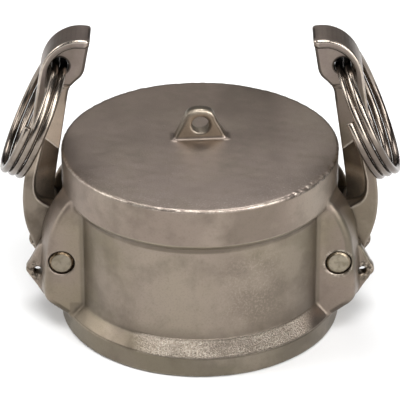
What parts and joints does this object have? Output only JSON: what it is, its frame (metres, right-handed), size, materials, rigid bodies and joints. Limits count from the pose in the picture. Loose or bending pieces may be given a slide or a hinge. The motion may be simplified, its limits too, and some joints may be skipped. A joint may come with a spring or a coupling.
{
  "type": "cam and groove dust cap",
  "caption": "Cast stainless dust cap for a cam-and-groove coupling: cup with face gasket, cam arms on pivot pins with split pull rings, and an eye plate on the closed end.",
  "frame": {"origin": "centre of the open rim, on the plane that the rim stands on", "axes": "+Z along the cap's axis towards the closed end; X through the two cam arms; Y along the pivot pins"},
  "size_m": [0.1071, 0.0756, 0.0823],
  "materials": {
    "cap_casting": "satin blasted investment casting",
    "arm_casting": "satin blasted investment casting",
    "pin_steel": "turned",
    "ring_wire": "polished spring wire",
    "gasket_rubber": "moulded nitrile"
  },
  "bodies": {
    "cap": {"cap_body": "cap_casting", "face_gasket": "gasket_rubber", "right_pivot_pin": "pin_steel", "left_pivot_pin": "pin_steel"},
    "right_arm": {"right_cam_arm": "arm_casting"},
    "left_arm": {"left_cam_arm": "arm_casting"},
    "right_ring": {"right_pull_ring": "ring_wire"},
    "left_ring": {"left_pull_ring": "ring_wire"}
  },
  "joints": [
    {"name": "right_arm_hinge", "type": "hinge", "parent": "cap", "child": "right_arm", "pos_m": [0.0369, 0, 0.0218], "axis": [0, 1, 0], "range_deg": [-0.8, 109.2]},
    {"name": "left_arm_hinge", "type": "hinge", "parent": "cap", "child": "left_arm", "pos_m": [-0.0369, 0, 0.0218], "axis": [0, -1, 0], "range_deg": [0, 110]},
    {"name": "right_ring_swing", "type": "hinge", "parent": "right_arm", "child": "right_ring", "pos_m": [0.03742, 0, 0.0737], "axis": [0, -1, 0], "range_deg": [0, 150]},
    {"name": "left_ring_swing", "type": "hinge", "parent": "left_arm", "child": "left_ring", "pos_m": [-0.0367, 0, 0.0737], "axis": [0, 1, 0], "range_deg": [0, 150]}
  ]
}
